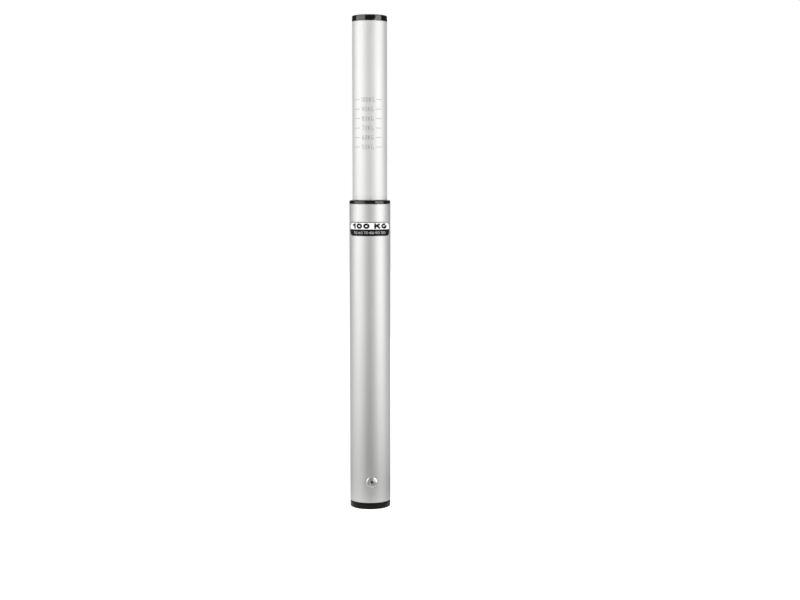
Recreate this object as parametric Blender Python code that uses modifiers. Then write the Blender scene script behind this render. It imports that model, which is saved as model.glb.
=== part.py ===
"""A spring gauge that weighs a trailer's nose: two telescoping aluminium tubes over a compression spring.

The gauge stands upright on a foot plug. The inner tube carries the scale and slides down into the outer tube,
against the spring, when the trailer's coupling rests on the top plug. Metres, +Z up. The origin is the centre
of the foot's underside, and the scale faces -Y.
"""

import math

import bmesh
import bpy

# Driving dimensions.
OUTER_DIAMETER = 0.035
INNER_DIAMETER = 0.0295
WALL = 0.0015
OUTER_LENGTH = 0.2554
EXPOSED_LENGTH = 0.1496  # inner tube that shows above the collar with no load
STROKE = 0.092
SEAT_GAP = 0.0003  # between pieces that rest on each other
FIT_GAP = 0.00015  # between a sleeve or plug and the tube it fits
TUBE_CHAMFER = 0.0003
CUT_MARGIN = 0.002  # how far a hole's cutter reaches past the walls it goes through
SEGMENTS = 64
SHARP_ANGLE = math.radians(32)
WELD_DISTANCE = 1e-6

# Foot plug.
FOOT_HEAD = 0.0054
FOOT_RADIUS = 0.0174
FOOT_EDGE = 0.0008
FOOT_FLOOR = 0.009
FOOT_SPIGOT_TOP = 0.031
FOOT_CUP_RADIUS = 0.0115
FOOT_RECESS_RADIUS = 0.009
FOOT_RECESS_DEPTH = 0.0008

# Blind rivets through the outer tube and the foot plug. Angles are measured from the front, -Y.
RIVET_HEIGHT = 0.0239
RIVET_ANGLES = {"front": math.radians(5), "rear": math.radians(185)}
RIVET_HEAD_RADIUS = 0.00475
RIVET_SHANK_RADIUS = 0.0024
RIVET_BORE_RADIUS = 0.0013
RIVET_BRIM = 0.00025  # height of the head's rim, where its shoulder starts
RIVET_CROWN = 0.00155  # height of the dome, were it not bored
RIVET_BALL = 0.016  # radius of the dome
RIVET_DOME_RADIUS = 0.0038
RIVET_SHOULDER = 0.0005
RIVET_GROOVE_RADIUS = 0.00245  # between the dome and the lip round the bore
RIVET_LIP_RADIUS = 0.0019
RIVET_LIP_SINK = 0.00012  # the lip's depth below the dome's crown
RIVET_BULB = 0.001
RIVET_TAIL = 0.003
MANDREL_CLEARANCE = 0.0001
MANDREL_SINK = 0.0012
MANDREL_CHAMFER = 0.0003
MANDREL_HEAD = 0.0005  # straight part of its blind head, which ends in a ball

# Spring and the washers at its ends.
WIRE = 0.0045
SPRING_DIAMETER = 0.031
SPRING_TURNS = 20
COIL_CLEARANCE = 0.0011  # left over all the turns at the end of the stroke
POINTS_PER_TURN = 12
CLOSED_PITCH = 1.04 * WIRE
PITCH_BLEND_TURNS = 0.5
WASHER_THICKNESS = 0.0015
WASHER_BORE_RADIUS = 0.0065
WASHER_CHAMFER = 0.0002

# Piston plug in the lower end of the inner tube, and its roll pin.
PISTON_FLANGE = 0.004
PISTON_CLEARANCE = 0.0002
PISTON_SPIGOT = 0.022
PLUG_WALL = 0.0022
PIN_DIAMETER = 0.003
PIN_WALL = 0.0005
PIN_SLOT = 0.0007
PIN_CHAMFER = 0.0002
PIN_RISE = 0.011  # above the inner tube's lower end

# Top plug.
TOP_HEAD = 0.0048
TOP_EDGE = 0.001
TOP_OVERHANG = 0.0002
TOP_SPIGOT = 0.018
RIB_DEPTH = 0.0007
RIB_HEIGHT = 0.0012
RIB_COUNT = 3
RIB_START = 0.003  # from the underside of the head to the first rib
RIB_PITCH = 0.005

# Guide bush, whose flange is the black collar. It is split, so that it can be squeezed into the tube.
COLLAR_FLANGE = 0.0032
COLLAR_EDGE = 0.0011
SPLIT_WIDTH = 0.0005
SPLIT_CUT = 0.005  # how deep the split's cutters are, across the bush's wall
SPLIT_OVERLAP = 0.0002
SPLIT_ANGLE = math.radians(-17.5)
SPLIT_LEAN = math.radians(36)

# Label wrapped round the front of the outer tube.
LABEL_WIDTH = 0.043
LABEL_HEIGHT = 0.0118
LABEL_BOTTOM = 0.2344
LABEL_CORNER = 0.0045
LABEL_THICKNESS = 0.0002
LABEL_STRIPS = 26
CORNER_STEPS = 4

# Radii and heights that follow.
OUTER_RADIUS = OUTER_DIAMETER / 2
OUTER_BORE = OUTER_RADIUS - WALL
INNER_RADIUS = INNER_DIAMETER / 2
INNER_BORE = INNER_RADIUS - WALL
SPRING_LENGTH = STROKE + SPRING_TURNS * WIRE + COIL_CLEARANCE
OUTER_LOW = FOOT_HEAD + SEAT_GAP
OUTER_HIGH = OUTER_LOW + OUTER_LENGTH
COLLAR_LOW = OUTER_HIGH + SEAT_GAP
COLLAR_HIGH = COLLAR_LOW + COLLAR_FLANGE
INNER_HIGH = COLLAR_HIGH + EXPOSED_LENGTH
LOWER_WASHER_LOW = FOOT_SPIGOT_TOP + SEAT_GAP
SPRING_LOW = LOWER_WASHER_LOW + WASHER_THICKNESS + SEAT_GAP
SPRING_HIGH = SPRING_LOW + SPRING_LENGTH
UPPER_WASHER_LOW = SPRING_HIGH + SEAT_GAP
PISTON_LOW = UPPER_WASHER_LOW + WASHER_THICKNESS + SEAT_GAP
PISTON_SHOULDER = PISTON_LOW + PISTON_FLANGE
INNER_LOW = PISTON_SHOULDER + SEAT_GAP
BUSH_RADIUS = OUTER_BORE - FIT_GAP
BUSH_BORE = INNER_RADIUS + FIT_GAP
PLUG_RADIUS = INNER_BORE - FIT_GAP
WASHER_RADIUS = SPRING_DIAMETER / 2

COLOURS = {
    "anodised_aluminium": ((0.78, 0.78, 0.77), 0.34, 1.0),
    "black_plastic": ((0.012, 0.012, 0.013), 0.32, 0.0),
    "rivet_aluminium": ((0.82, 0.82, 0.83), 0.18, 1.0),
    "mandrel_steel": ((0.22, 0.22, 0.23), 0.35, 1.0),
    "spring_steel": ((0.32, 0.31, 0.30), 0.30, 1.0),
    "zinc_steel": ((0.62, 0.64, 0.66), 0.28, 1.0),
    "label_vinyl": ((0.85, 0.85, 0.85), 0.35, 0.0),
}


def clear_scene():
    for obj in list(bpy.data.objects):
        bpy.data.objects.remove(obj)


def new_collection(name):
    collection = bpy.data.collections.new(name)
    bpy.context.scene.collection.children.link(collection)
    return collection


def make_material(name):
    colour, roughness, metallic = COLOURS[name]
    material = bpy.data.materials.new(name)
    material.use_nodes = True
    shader = material.node_tree.nodes["Principled BSDF"]
    shader.inputs["Base Color"].default_value = (*colour, 1)
    shader.inputs["Roughness"].default_value = roughness
    shader.inputs["Metallic"].default_value = metallic
    return material


clear_scene()
GAUGE = new_collection("nose_weight_gauge")
CUTTERS = new_collection("cutters")
MATERIALS = {name: make_material(name) for name in COLOURS}


def add_object(name, data, material=None, collection=GAUGE):
    obj = bpy.data.objects.new(name, data)
    collection.objects.link(obj)
    if material:
        data.materials.append(MATERIALS[material])
    return obj


def add_axis(name, height, parent=None):
    """An empty on the gauge's axis, which moving pieces are parented to."""
    empty = add_object(name, None)
    empty.parent = parent
    empty.location.z = height - (parent.matrix_world.translation.z if parent else 0)
    bpy.context.view_layer.update()
    return empty


def put_on(piece, axis):
    """Parents a piece that is already in place, without moving it."""
    bpy.context.view_layer.update()
    world = piece.matrix_world.copy()
    piece.parent = axis
    piece.matrix_world = world


def arc(centre, radius, start, end, steps=4):
    """Points (r, z) on an arc. Angles are in degrees, from +r towards +z."""
    angles = [math.radians(start + (end - start) * i / steps) for i in range(steps + 1)]
    return [(centre[0] + radius * math.cos(a), centre[1] + radius * math.sin(a)) for a in angles]


def turned(name, profile, material, height=0.0, segments=SEGMENTS):
    """A solid of revolution about its own Z. A profile of (r, z) points that starts and ends on the axis is
    left open, and any other is a closed loop. It runs down its outer side."""
    mesh = bpy.data.meshes.new(name)
    count = len(profile)
    edges = [(i, i + 1) for i in range(count - 1)]
    if profile[0][0] > 0:
        edges.append((count - 1, 0))
    mesh.from_pydata([(r, 0, z) for r, z in profile], edges, [])
    section = add_object(name + "_section", mesh)
    section.location.z = height
    screw = section.modifiers.new("turn", "SCREW")
    screw.axis = "Z"
    screw.steps = segments
    screw.render_steps = segments
    screw.use_merge_vertices = True
    screw.merge_threshold = WELD_DISTANCE
    return made_real(name, section, material)


def made_real(name, source, material):
    """A mesh object in place of a curve or a modified one, with seams welded and corners kept sharp."""
    bpy.context.view_layer.update()
    graph = bpy.context.evaluated_depsgraph_get()
    mesh = bpy.data.meshes.new_from_object(source.evaluated_get(graph))
    bm = bmesh.new()
    bm.from_mesh(mesh)
    bmesh.ops.remove_doubles(bm, verts=bm.verts, dist=WELD_DISTANCE)
    bm.to_mesh(mesh)
    bm.free()
    mesh.shade_smooth()
    mesh.set_sharp_from_angle(angle=SHARP_ANGLE)
    mesh.materials.clear()
    obj = add_object(name, mesh, material)
    obj.matrix_world = source.matrix_world
    bpy.data.objects.remove(source)
    return obj


def ring_profile(bore, radius, length, chamfer):
    """A tube's section from z 0 to its length, with chamfered outer edges."""
    return [
        (bore, length),
        (radius - chamfer, length),
        (radius, length - chamfer),
        (radius, chamfer),
        (radius - chamfer, 0),
        (bore, 0),
    ]


def hide(cutter):
    cutter.hide_render = True
    cutter.display_type = "WIRE"
    return cutter


def round_cutter(name, radius, length, location, rotation):
    bm = bmesh.new()
    bmesh.ops.create_cone(
        bm, cap_ends=True, segments=24, radius1=radius, radius2=radius, depth=length
    )
    return finish_cutter(name, bm, location, rotation)


def box_cutter(name, size, location, rotation):
    bm = bmesh.new()
    bmesh.ops.create_cube(bm, size=1)
    bmesh.ops.scale(bm, vec=size, verts=bm.verts)
    return finish_cutter(name, bm, location, rotation)


def finish_cutter(name, bm, location, rotation):
    mesh = bpy.data.meshes.new(name)
    bm.to_mesh(mesh)
    bm.free()
    cutter = add_object(name, mesh, collection=CUTTERS)
    cutter.location = location
    cutter.rotation_euler = rotation
    return hide(cutter)


def cut(obj, *cutters):
    for cutter in cutters:
        boolean = obj.modifiers.new("cut_" + cutter.name, "BOOLEAN")
        boolean.operation = "DIFFERENCE"
        boolean.solver = "EXACT"
        boolean.object = cutter


def on_tube(angle, radius, height):
    """The point at an angle from the front, -Y, on a cylinder round the gauge's axis."""
    return (radius * math.sin(angle), -radius * math.cos(angle), height)


def facing(angle):
    """The rotation that turns a piece's own +Z outwards at an angle from the front."""
    return (math.pi / 2, 0, angle)


def make_rivet_hole(side, angle):
    length = OUTER_RADIUS - FOOT_CUP_RADIUS + 2 * CUT_MARGIN
    middle = (OUTER_RADIUS + FOOT_CUP_RADIUS) / 2
    return round_cutter(
        side + "_rivet_hole",
        RIVET_SHANK_RADIUS + FIT_GAP,
        length,
        on_tube(angle, middle, RIVET_HEIGHT),
        facing(angle),
    )


def make_outer_tube(holes):
    profile = ring_profile(OUTER_BORE, OUTER_RADIUS, OUTER_LENGTH, TUBE_CHAMFER)
    tube = turned("outer_tube", profile, "anodised_aluminium", OUTER_LOW)
    cut(tube, *holes)


def make_foot_plug(holes):
    """A thick cup that plugs the outer tube. Its rim carries the spring, and its head is the foot."""
    flat = FOOT_RADIUS - FOOT_EDGE
    profile = [
        (0, FOOT_FLOOR),
        (FOOT_CUP_RADIUS, FOOT_FLOOR),
        (FOOT_CUP_RADIUS, FOOT_SPIGOT_TOP),
        (BUSH_RADIUS - TUBE_CHAMFER, FOOT_SPIGOT_TOP),
        (BUSH_RADIUS, FOOT_SPIGOT_TOP - TUBE_CHAMFER),
        (BUSH_RADIUS, FOOT_HEAD),
        (FOOT_RADIUS, FOOT_HEAD),
        *arc((flat, FOOT_EDGE), FOOT_EDGE, 0, -90),
        (FOOT_RECESS_RADIUS, 0),
        (FOOT_RECESS_RADIUS, FOOT_RECESS_DEPTH),
        (0, FOOT_RECESS_DEPTH),
    ]
    plug = turned("foot_plug", profile, "black_plastic")
    cut(plug, *holes)


def make_rivet(side, angle):
    """A set blind rivet: a domed head with a lip round the bore, a shank, and a bulb on the blind side."""
    grip = -(OUTER_RADIUS - FOOT_CUP_RADIUS) - 2 * SEAT_GAP
    tail = grip - RIVET_TAIL
    ball_centre = RIVET_CROWN - RIVET_BALL
    dome_middle = (RIVET_GROOVE_RADIUS + RIVET_DOME_RADIUS) / 2
    dome = [
        (radius, ball_centre + math.sqrt(RIVET_BALL**2 - radius**2))
        for radius in (RIVET_GROOVE_RADIUS, dome_middle, RIVET_DOME_RADIUS)
    ]
    lip = RIVET_CROWN - RIVET_LIP_SINK
    shoulder = (RIVET_HEAD_RADIUS - RIVET_SHOULDER / 2, RIVET_BRIM + RIVET_SHOULDER)
    profile = [
        (RIVET_BORE_RADIUS, lip),
        (RIVET_LIP_RADIUS, lip),
        *dome,
        shoulder,
        (RIVET_HEAD_RADIUS, RIVET_BRIM),
        (RIVET_HEAD_RADIUS, 0),
        (RIVET_SHANK_RADIUS, 0),
        (RIVET_SHANK_RADIUS, grip),
        (RIVET_SHANK_RADIUS + RIVET_BULB, grip - RIVET_BULB),
        (RIVET_SHANK_RADIUS, tail),
        (RIVET_BORE_RADIUS, tail),
    ]
    rivet = turned(side + "_rivet", profile, "rivet_aluminium", segments=24)
    rivet.location = on_tube(angle, OUTER_RADIUS + FIT_GAP, RIVET_HEIGHT)
    rivet.rotation_euler = facing(angle)
    make_mandrel(side, rivet, tail)


def make_mandrel(side, rivet, tail):
    """The part of the rivet's steel pin that stays in its bore, with the head that pulled the bulb up."""
    radius = RIVET_BORE_RADIUS - MANDREL_CLEARANCE
    head = RIVET_SHANK_RADIUS - MANDREL_CLEARANCE
    top = RIVET_CROWN - MANDREL_SINK
    shoulder = tail - SEAT_GAP
    profile = [
        (0, top),
        (radius - MANDREL_CHAMFER, top),
        (radius, top - MANDREL_CHAMFER),
        (radius, shoulder),
        (head, shoulder),
        *arc((0, shoulder - MANDREL_HEAD), head, 0, -90),
    ]
    profile[-1] = (0, profile[-1][1])
    mandrel = turned(side + "_mandrel", profile, "mandrel_steel", segments=16)
    mandrel.location = rivet.location
    mandrel.rotation_euler = rivet.rotation_euler


def make_washer(name, height):
    profile = ring_profile(WASHER_BORE_RADIUS, WASHER_RADIUS, WASHER_THICKNESS, WASHER_CHAMFER)
    return turned(name, profile, "zinc_steel", height, segments=48)


def spring_heights():
    """Heights of the wire's middle, POINTS_PER_TURN to a turn. The turns at both ends lie close, and the
    pitch eases from theirs to the working one."""
    rise = SPRING_LENGTH + WIRE / 2
    blend = PITCH_BLEND_TURNS
    pitch = (rise - (2 + blend) * CLOSED_PITCH) / (SPRING_TURNS - 2 - blend)
    steps = round(SPRING_TURNS * POINTS_PER_TURN)
    turn_step = SPRING_TURNS / steps
    heights = [-WIRE / 4]
    for step in range(steps):
        turn = (step + 0.5) * turn_step
        from_end = min(turn, SPRING_TURNS - turn)
        share = min(1, max(0, (from_end - 1) / blend))
        eased = share * share * (3 - 2 * share)
        heights.append(heights[-1] + turn_step * (CLOSED_PITCH + (pitch - CLOSED_PITCH) * eased))
    return heights


def make_spring():
    """The compression spring, with closed ends that are ground flat."""
    radius = (SPRING_DIAMETER - WIRE) / 2
    curve = bpy.data.curves.new("spring", "CURVE")
    curve.dimensions = "3D"
    curve.bevel_depth = WIRE / 2
    curve.bevel_resolution = 2
    curve.use_fill_caps = True
    heights = spring_heights()
    spline = curve.splines.new("POLY")
    spline.points.add(len(heights) - 1)
    for i, (point, height) in enumerate(zip(spline.points, heights)):
        turn = 2 * math.pi * i / (len(heights) - 1) * SPRING_TURNS
        point.co = (radius * math.cos(turn), radius * math.sin(turn), height, 1)
    wire = add_object("spring_wire", curve)
    wire.location.z = SPRING_LOW
    spring = made_real("spring", wire, "spring_steel")
    slab = (2 * SPRING_DIAMETER, 2 * SPRING_DIAMETER, 2 * WIRE)
    cut(
        spring,
        box_cutter("spring_grinder_low", slab, (0, 0, SPRING_LOW - WIRE), (0, 0, 0)),
        box_cutter("spring_grinder_high", slab, (0, 0, SPRING_HIGH + WIRE), (0, 0, 0)),
    )
    return spring


def make_piston_plug(pin_hole):
    """Closes the inner tube's lower end. Its flange slides in the outer tube and stops under the bush."""
    top = PISTON_FLANGE + PISTON_SPIGOT
    flange = OUTER_BORE - PISTON_CLEARANCE
    profile = [
        (0, PISTON_FLANGE),
        (PLUG_RADIUS - PLUG_WALL, PISTON_FLANGE),
        (PLUG_RADIUS - PLUG_WALL, top),
        (PLUG_RADIUS - TUBE_CHAMFER, top),
        (PLUG_RADIUS, top - TUBE_CHAMFER),
        (PLUG_RADIUS, PISTON_FLANGE),
        (flange - TUBE_CHAMFER, PISTON_FLANGE),
        (flange, PISTON_FLANGE - TUBE_CHAMFER),
        (flange, TUBE_CHAMFER),
        (flange - TUBE_CHAMFER, 0),
        (0, 0),
    ]
    plug = turned("piston_plug", profile, "black_plastic", PISTON_LOW)
    cut(plug, pin_hole)
    return plug


def make_piston_pin():
    """A slotted roll pin across the inner tube and the piston plug."""
    length = INNER_DIAMETER - 2 * SEAT_GAP
    radius = PIN_DIAMETER / 2
    profile = ring_profile(radius - PIN_WALL, radius, length, PIN_CHAMFER)
    pin = turned("piston_pin", profile, "zinc_steel", segments=16)
    height = INNER_LOW + PIN_RISE
    pin.rotation_euler = (0, math.pi / 2, 0)
    pin.location = (-length / 2, 0, height)
    slot = box_cutter(
        "pin_slot", (2 * length, PIN_DIAMETER, PIN_SLOT), (0, radius, height), (0, 0, 0)
    )
    cut(pin, slot)
    return pin


def make_inner_tube(pin_hole):
    profile = ring_profile(INNER_BORE, INNER_RADIUS, INNER_HIGH - INNER_LOW, TUBE_CHAMFER)
    tube = turned("inner_tube", profile, "anodised_aluminium", INNER_LOW)
    cut(tube, pin_hole)
    return tube


def make_top_plug():
    """The cap that the trailer's coupling presses on. Ribs round its hollow spigot grip the inner tube."""
    low = -TOP_SPIGOT
    radius = INNER_RADIUS + TOP_OVERHANG
    ribs = []
    for i in range(RIB_COUNT):
        rib_top = -RIB_START - i * RIB_PITCH
        ribs += [
            (PLUG_RADIUS - RIB_DEPTH, rib_top),
            (PLUG_RADIUS, rib_top - RIB_DEPTH),
            (PLUG_RADIUS, rib_top - RIB_DEPTH - RIB_HEIGHT),
            (PLUG_RADIUS - RIB_DEPTH, rib_top - RIB_DEPTH - RIB_HEIGHT),
        ]
    inside = PLUG_RADIUS - RIB_DEPTH - PLUG_WALL
    profile = [
        (0, TOP_HEAD),
        *arc((radius - TOP_EDGE, TOP_HEAD - TOP_EDGE), TOP_EDGE, 90, 0),
        (radius, 0),
        (PLUG_RADIUS - RIB_DEPTH, 0),
        *ribs,
        (PLUG_RADIUS - RIB_DEPTH, low),
        (inside, low),
        (inside, 0),
        (0, 0),
    ]
    return turned("top_plug", profile, "black_plastic", INNER_HIGH + SEAT_GAP)


def make_guide_bush():
    """The collar and the thin sleeve under it, which guides the inner tube and stops the piston's flange."""
    sleeve = COLLAR_LOW - INNER_LOW
    corner = (OUTER_RADIUS - COLLAR_EDGE, COLLAR_FLANGE - COLLAR_EDGE)
    profile = [
        (BUSH_BORE, COLLAR_FLANGE),
        *arc(corner, COLLAR_EDGE, 90, 0),
        (OUTER_RADIUS, 0),
        (BUSH_RADIUS, 0),
        (BUSH_RADIUS, -sleeve),
        (BUSH_BORE, -sleeve),
    ]
    bush = turned("guide_bush", profile, "black_plastic", COLLAR_LOW)
    middle = (OUTER_RADIUS + BUSH_BORE) / 2
    lean_length = 1.5 * COLLAR_FLANGE / math.cos(SPLIT_LEAN)
    collar_split = box_cutter(
        "collar_split",
        (SPLIT_WIDTH, SPLIT_CUT, lean_length),
        on_tube(SPLIT_ANGLE, middle, COLLAR_LOW + COLLAR_FLANGE / 2),
        (0, SPLIT_LEAN, SPLIT_ANGLE),
    )
    sideways = math.tan(SPLIT_LEAN) * COLLAR_FLANGE / 2
    sleeve_angle = SPLIT_ANGLE - sideways / middle  # under the foot of the collar's slanted split
    sleeve_split = box_cutter(
        "sleeve_split",
        (SPLIT_WIDTH, SPLIT_CUT, sleeve + SPLIT_OVERLAP),
        on_tube(sleeve_angle, middle, COLLAR_LOW - sleeve / 2),
        (0, 0, sleeve_angle),
    )
    cut(bush, collar_split, sleeve_split)


def label_outline():
    """The label laid flat, as (x, z) points: a rectangle with round corners."""
    half, low, high = LABEL_WIDTH / 2, LABEL_BOTTOM, LABEL_BOTTOM + LABEL_HEIGHT
    corners = [
        ((half - LABEL_CORNER, high - LABEL_CORNER), 0),
        ((LABEL_CORNER - half, high - LABEL_CORNER), 90),
        ((LABEL_CORNER - half, low + LABEL_CORNER), 180),
        ((half - LABEL_CORNER, low + LABEL_CORNER), 270),
    ]
    return [
        point
        for centre, start in corners
        for point in arc(centre, LABEL_CORNER, start, start + 90, CORNER_STEPS)
    ]


def make_label():
    """A flat outline cut into upright strips, rolled round the tube and given its thickness."""
    radius = OUTER_RADIUS + FIT_GAP
    bm = bmesh.new()
    bm.faces.new([bm.verts.new((x, 0, z)) for x, z in label_outline()])
    for i in range(1, LABEL_STRIPS):
        x = LABEL_WIDTH * (i / LABEL_STRIPS - 0.5)
        everything = bm.verts[:] + bm.edges[:] + bm.faces[:]
        bmesh.ops.bisect_plane(bm, geom=everything, plane_co=(x, 0, 0), plane_no=(1, 0, 0))
    for vert in bm.verts:
        vert.co = on_tube(vert.co.x / radius, radius, vert.co.z)
    bmesh.ops.recalc_face_normals(bm, faces=bm.faces)
    if bm.faces[0].normal.dot(bm.faces[0].calc_center_median()) < 0:
        bmesh.ops.reverse_faces(bm, faces=bm.faces)
    mesh = bpy.data.meshes.new("label")
    bm.to_mesh(mesh)
    bm.free()
    mesh.shade_smooth()
    label = add_object("label", mesh, "label_vinyl")
    solidify = label.modifiers.new("thickness", "SOLIDIFY")
    solidify.thickness = LABEL_THICKNESS
    solidify.offset = 1
    return label


def make_housing():
    holes = [make_rivet_hole(side, angle) for side, angle in RIVET_ANGLES.items()]
    make_outer_tube(holes)
    make_foot_plug(holes)
    for side, angle in RIVET_ANGLES.items():
        make_rivet(side, angle)
    make_washer("lower_washer", LOWER_WASHER_LOW)
    make_spring()
    make_guide_bush()
    make_label()


def make_plunger():
    """The upper washer slides with the spring's end, and the inner tube turns freely on it."""
    slide_axis = add_axis("slide_axis", UPPER_WASHER_LOW)
    swivel_axis = add_axis("swivel_axis", PISTON_LOW, slide_axis)
    pin_hole = round_cutter(
        "pin_hole",
        PIN_DIAMETER / 2 + FIT_GAP,
        OUTER_DIAMETER,
        (0, 0, INNER_LOW + PIN_RISE),
        (0, math.pi / 2, 0),
    )
    put_on(make_washer("upper_washer", UPPER_WASHER_LOW), slide_axis)
    plunger = [
        make_piston_plug(pin_hole),
        make_piston_pin(),
        make_inner_tube(pin_hole),
        make_top_plug(),
    ]
    for piece in plunger:
        put_on(piece, swivel_axis)


make_housing()
make_plunger()
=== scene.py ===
"""The looks of a trailer nose weight gauge: two telescoping anodised tubes with black plugs, a collar
and a label.

Metres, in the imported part's frame: +Z up along the tubes, with the scale, the label and the front rivet
on -Y.
"""

import math

import bmesh
import bpy
from mathutils import Matrix, Vector


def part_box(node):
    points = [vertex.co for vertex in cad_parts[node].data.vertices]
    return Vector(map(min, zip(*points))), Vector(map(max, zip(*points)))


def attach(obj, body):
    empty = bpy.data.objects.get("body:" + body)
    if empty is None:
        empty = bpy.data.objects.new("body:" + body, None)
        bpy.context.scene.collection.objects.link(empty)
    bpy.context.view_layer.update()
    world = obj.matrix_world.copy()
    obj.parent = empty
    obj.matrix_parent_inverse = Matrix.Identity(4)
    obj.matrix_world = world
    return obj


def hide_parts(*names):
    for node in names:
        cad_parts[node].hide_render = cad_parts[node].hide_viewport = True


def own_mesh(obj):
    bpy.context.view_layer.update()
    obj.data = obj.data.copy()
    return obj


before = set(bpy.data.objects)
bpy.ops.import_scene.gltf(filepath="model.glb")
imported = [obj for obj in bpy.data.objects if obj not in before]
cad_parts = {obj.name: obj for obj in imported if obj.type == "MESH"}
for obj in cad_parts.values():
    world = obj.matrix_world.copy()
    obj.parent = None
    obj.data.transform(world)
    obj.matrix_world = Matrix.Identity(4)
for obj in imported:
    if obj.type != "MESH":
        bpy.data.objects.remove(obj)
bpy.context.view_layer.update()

MM = 0.001
WELD_DISTANCE = 0.001 * MM
SAME_POINT = 1e-7
ON_PLANE = 1e-8


def low(node):
    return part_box(node)[0].z


def high(node):
    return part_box(node)[1].z


def half_width(node):
    return (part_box(node)[1].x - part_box(node)[0].x) / 2


# Radii of the parts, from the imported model, and walls and bores that its boxes don't give.
OUTER_RADIUS = half_width("outer_tube")
INNER_RADIUS = half_width("inner_tube")
TOP_RADIUS = half_width("top_plug")
COLLAR_RADIUS = half_width("guide_bush")
FOOT_RADIUS = half_width("foot_plug")
WALL = 1.5 * MM
FIT_GAP = 0.15 * MM
SEAT_GAP = 0.3 * MM
TUBE_EDGE = 0.2 * MM
PIN_HOLE_RADIUS = 1.65 * MM
PIN_HOLE_CUT = 60 * MM
SEAM_EDGE = 0.15 * MM  # rounding where a head or the collar meets a tube
SPIGOT_EDGE = 0.3 * MM

# Foot plug: the head, with a rebate round its top, and the cup.
FOOT_HEAD = low("outer_tube") - SEAT_GAP
FOOT_RELIEF = 0.45 * MM
FOOT_RELIEF_EDGE = 0.1 * MM
FOOT_ROUNDING = 0.8 * MM
FOOT_CUP_RADIUS = 11.5 * MM
FOOT_CUP_ROUNDING = 1.2 * MM
FOOT_RIM_EDGES = (0.4 * MM, 0.5 * MM)  # inside and outside
FOOT_FLOOR = 9 * MM
FOOT_RECESS_RADIUS = 9 * MM
FOOT_RECESS_DEPTH = 0.8 * MM
FOOT_RECESS_EDGE = 0.3 * MM

# Top plug, with ribs round its spigot.
TOP_LOW = high("inner_tube") + SEAT_GAP
TOP_ROUNDING = 0.9 * MM
TOP_FLOOR_ROUNDING = 1 * MM
PLUG_WALL = 2.2 * MM
RIB_STARTS = (3 * MM, 8 * MM, 13 * MM)  # below the head
RIB_DEPTH = 0.7 * MM
RIB_HEIGHT = 1.9 * MM
RIB_EDGE = 0.2 * MM

# Guide bush: the collar's slanted split, and the slot under it down the sleeve.
COLLAR_LOW = high("outer_tube") + SEAT_GAP
COLLAR_HIGH = high("guide_bush")
COLLAR_ROUNDING = 1.3 * MM
COLLAR_MOUTH_ROUNDING = 0.25 * MM
SPLIT_ANGLE = math.radians(-17.5)
SPLIT_LEAN = math.radians(36)
SPLIT_WIDTH = 0.5 * MM
SPLIT_CUT = 5 * MM
SPLIT_OVERLAP = 0.1 * MM

# The scale: ticks and numerals for each load, printed round a line a little to the left of the front.
SCALE_ANGLE = math.radians(-5.4)
SCALE_FIRST = 44.65 * MM
SCALE_PITCH = 7.89 * MM
SCALE_LOADS = (50, 60, 70, 80, 90, 100)
TICK_START = math.radians(27.5)
TICK_END = math.radians(50)
TICK_THICKNESS = 0.31 * MM
NUMERAL_HEIGHT = 3.9 * MM
NUMERAL_STROKE = 0.28 * MM
NUMERAL_WIDTH = 2.5 * MM
INK_THICKNESS = 0.03 * MM
INK_LIFT = 0.005 * MM
LETTER_GAP = 0.22  # of the letters' height
STROKE_LIFT = 0.004 * MM
STRAIGHT_POINTS = 3  # a stroke with no more points than this is a straight-sided one

# Blind rivets: angle from the front of each, and the sizes of a standard 4.8 mm rivet's domed head.
RIVET_ANGLES = {"front": math.radians(5), "rear": math.radians(185)}
RIVET_HEIGHT = (low("front_rivet") + high("front_rivet")) / 2
RIVET_HOLE_OVERLAP = 2 * MM
RIVET_HEAD_RADIUS = 4.75 * MM
RIVET_SHANK_RADIUS = 2.4 * MM
RIVET_BORE_RADIUS = 1.42 * MM
RIVET_CROWN = 1.55 * MM  # height of the dome, were it not bored
RIVET_BALL = 16 * MM  # radius of the ball that the dome is part of
RIVET_DOME_RADIUS = RIVET_HEAD_RADIUS - 0.95 * MM
RIVET_DOME_STEPS = 10
RIVET_GROOVE_RADIUS = 2.45 * MM
RIVET_LIP_RADIUS = 1.95 * MM
RIVET_GRIP = OUTER_RADIUS - FOOT_CUP_RADIUS + 0.6 * MM  # the walls and some slack
RIVET_BULB = 1 * MM
RIVET_TAIL = 3 * MM
MANDREL_CLEARANCE = 0.1 * MM
MANDREL_GAP = 0.3 * MM
MANDREL_TOP = 0.35 * MM
MANDREL_HEAD = 2.8 * MM

# The label, and what is printed on it: the limit in bold, and the loads under it.
LABEL_WIDTH = 43 * MM
LABEL_LOW = low("label")
LABEL_HIGH = high("label")
LABEL_CORNER = 4.5 * MM
LABEL_SPLIT = 0.47  # the black half's share of the height
LABEL_BORDER = 0.6 * MM
LABEL_ANGLE = math.radians(0.5)
LABEL_LIFT = 0.02 * MM
LABEL_FILM = 0.1 * MM
LABEL_INK = 0.02 * MM
LIMIT_SIZES = (4.6 * MM, 1.65 * MM, 6.3 * MM)  # height, stroke and unit of width
LOADS_SIZES = (2.1 * MM, 0.17 * MM, 2.45 * MM)

# The spring.
SPRING_WIRE = 4.5 * MM
SPRING_RADIUS = half_width("spring") - SPRING_WIRE / 2
SPRING_TURNS = 20
CLOSED_PITCH = 1.04 * SPRING_WIRE
PITCH_BLEND_TURNS = 0.5
POINTS_PER_TURN = 40

SHARP_ANGLE = math.radians(35)

# Camera and lights.
CAMERA_PLACE = (0.0257, -1.2142, 0.2859)
CAMERA_DOWN = math.radians(5.04)
CAMERA_LENS = 63.9

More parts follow.
